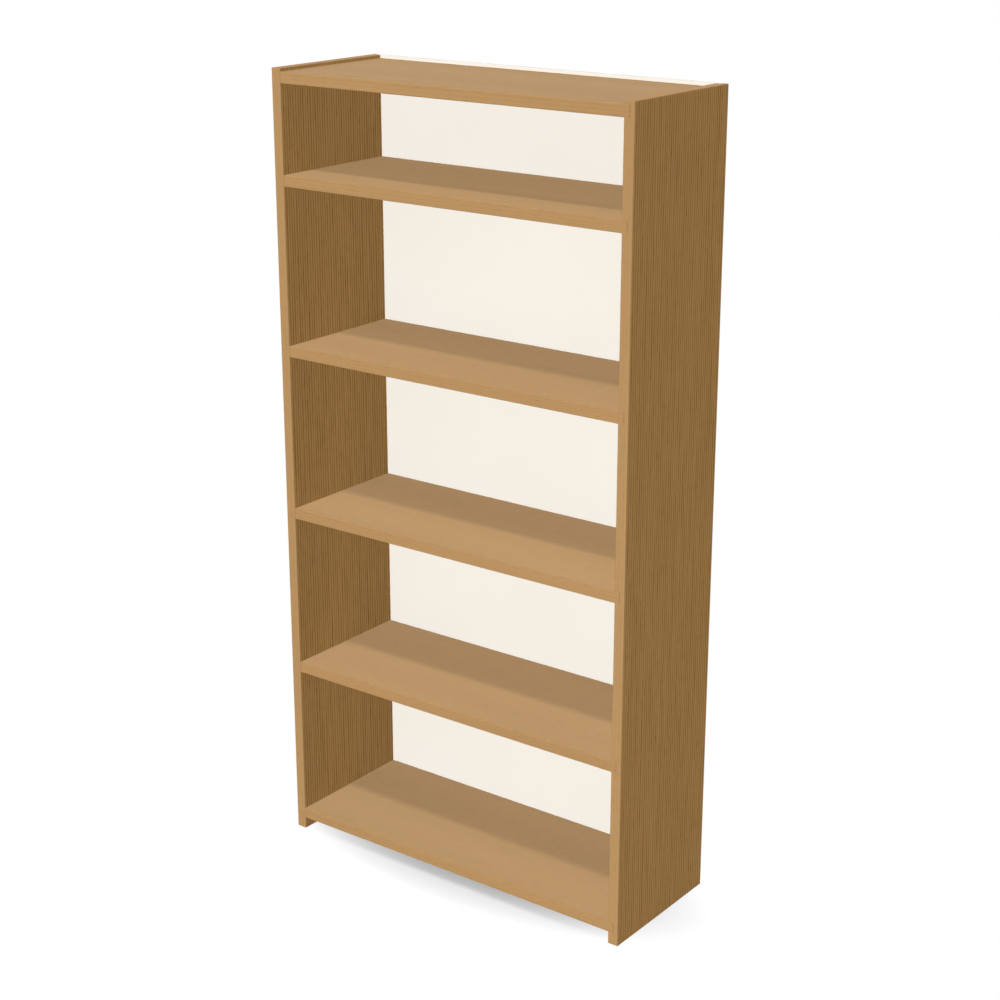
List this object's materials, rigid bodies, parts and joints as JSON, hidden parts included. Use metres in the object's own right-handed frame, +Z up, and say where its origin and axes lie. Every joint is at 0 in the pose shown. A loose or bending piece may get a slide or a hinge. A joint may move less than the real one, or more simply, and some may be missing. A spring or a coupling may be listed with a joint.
{
  "type": "bookcase",
  "caption": "Tall open oak bookcase with a cream back: side panels down to the floor, fixed boards housed in them, lipped front edges and wall brackets out of sight.",
  "frame": {"origin": "on the floor, under the middle of the case", "axes": "+Z up, the open front faces -Y, +X to the right seen from the front"},
  "size_m": [0.811, 0.298, 1.579],
  "materials": {
    "oak_panel": "straight-grained oak veneer, satin, grain upright",
    "oak_board": "oak veneer, satin, grain along the board",
    "oak_edge": "solid oak lipping, satin, eased edges",
    "cream_back": "board with cream paint, matt",
    "zinc_steel": "zinc plated",
    "glide_plastic": "dark brown moulded plastic"
  },
  "bodies": {
    "root": {"back_panel": "cream_back", "back_screws": "zinc_steel", "bottom_shelf": "oak_board", "bottom_shelf_lipping": "oak_edge", "bracket_screws": "zinc_steel", "floor_glides": "glide_plastic", "left_front_lipping": "oak_edge", "left_side_panel": "oak_panel", "left_top_lipping": "oak_edge", "left_wall_bracket": "zinc_steel", "right_front_lipping": "oak_edge", "right_side_panel": "oak_panel", "right_top_lipping": "oak_edge", "right_wall_bracket": "zinc_steel", "shelf_1": "oak_board", "shelf_1_lipping": "oak_edge", "shelf_2": "oak_board", "shelf_2_lipping": "oak_edge", "shelf_3": "oak_board", "shelf_3_lipping": "oak_edge", "shelf_4": "oak_board", "shelf_4_lipping": "oak_edge", "top_board": "oak_board", "top_board_lipping": "oak_edge"}
  },
  "joints": []
}
